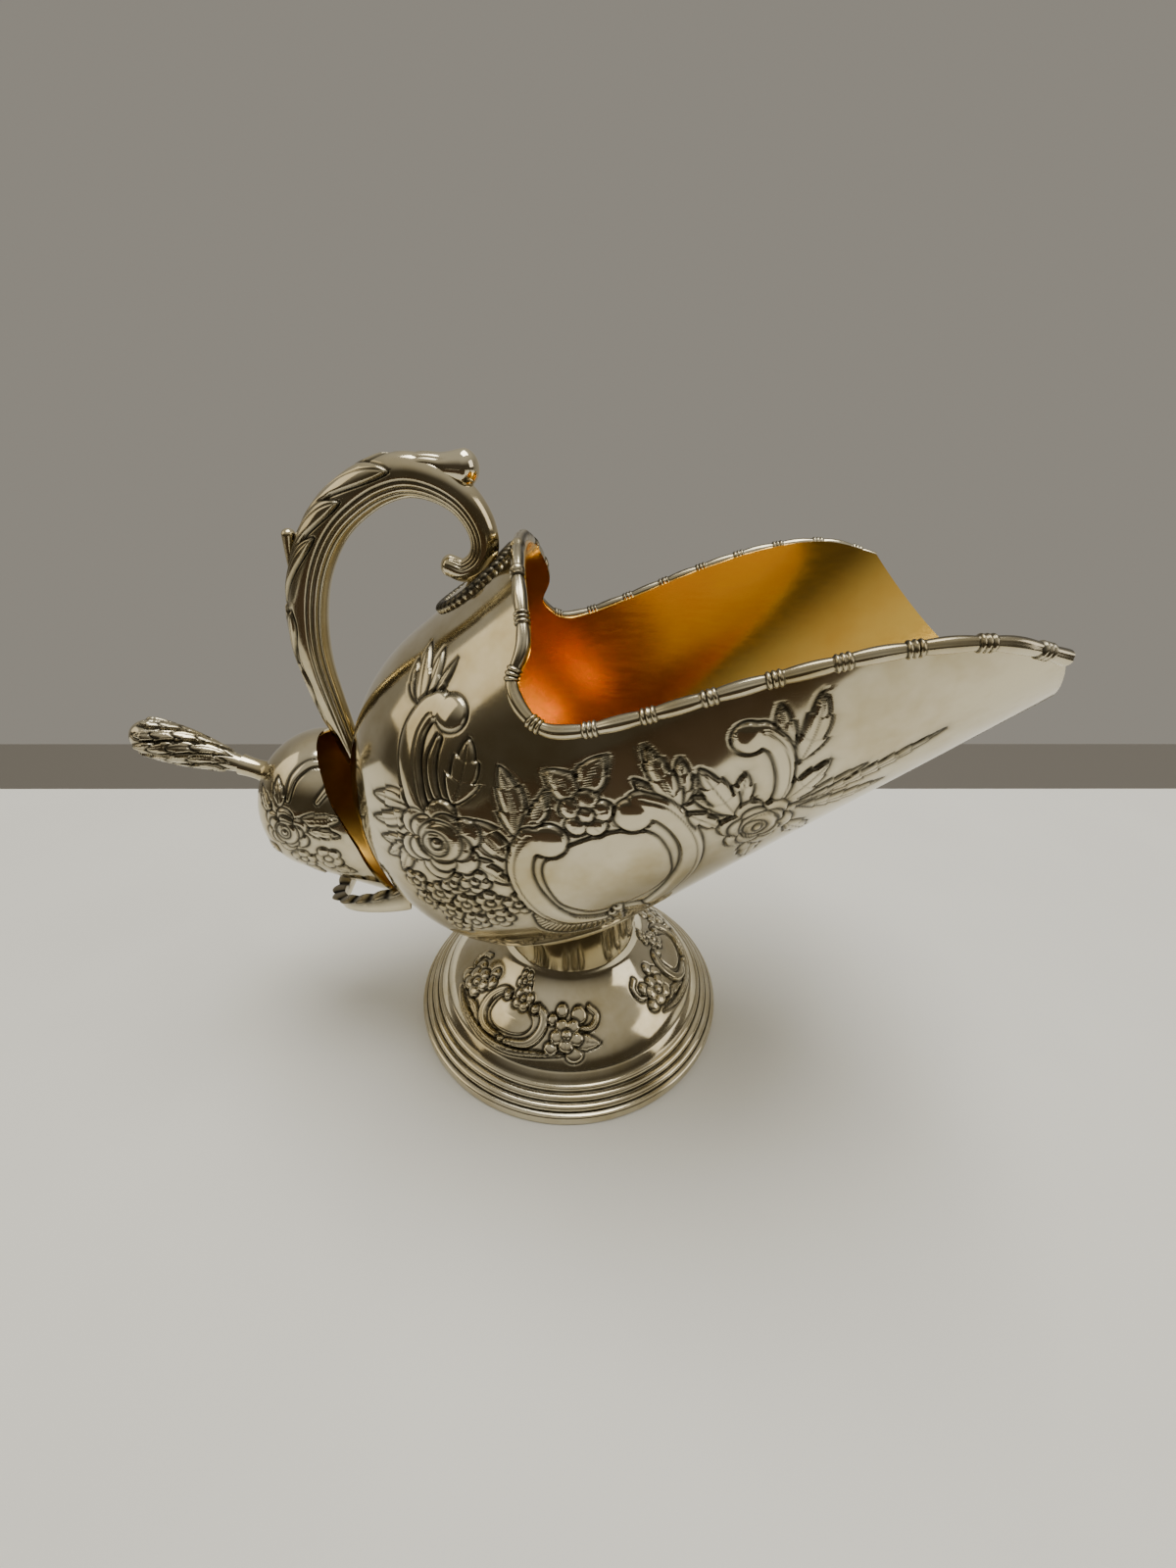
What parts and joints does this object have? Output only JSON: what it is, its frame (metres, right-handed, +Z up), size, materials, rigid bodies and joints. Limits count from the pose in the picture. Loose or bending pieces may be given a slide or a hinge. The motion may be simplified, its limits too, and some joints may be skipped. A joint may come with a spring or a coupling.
{
  "type": "sugar scuttle with scoop",
  "caption": "Footed helmet-shaped sugar scuttle in silver plate with gilt interior, leaf-scroll handle and a small scoop that lifts out of a bracket at the back.",
  "frame": {"origin": "middle of the foot, on the surface it stands on", "axes": "+X from the handle towards the pouring lip, +Z up, +Y completes the right-handed frame"},
  "size_m": [0.1798, 0.08, 0.1323],
  "materials": {
    "silver": "polished silver plate, darkened in the recesses",
    "gilt": "polished gold wash"
  },
  "bodies": {
    "scuttle": {"bowl_shell": "silver", "rim_border": "silver", "handle": "silver", "handle_plate": "silver", "foot_base": "silver", "foot_dome": "silver", "foot_collar": "silver", "scoop_bracket": "silver"},
    "scoop": {"scoop_bowl": "silver", "scoop_handle": "silver"}
  },
  "joints": [
    {"name": "scoop_lift", "type": "slide", "parent": "scuttle", "child": "scoop", "axis": [-0.5, 0, 0.866], "range_m": [0, 0.06]}
  ]
}
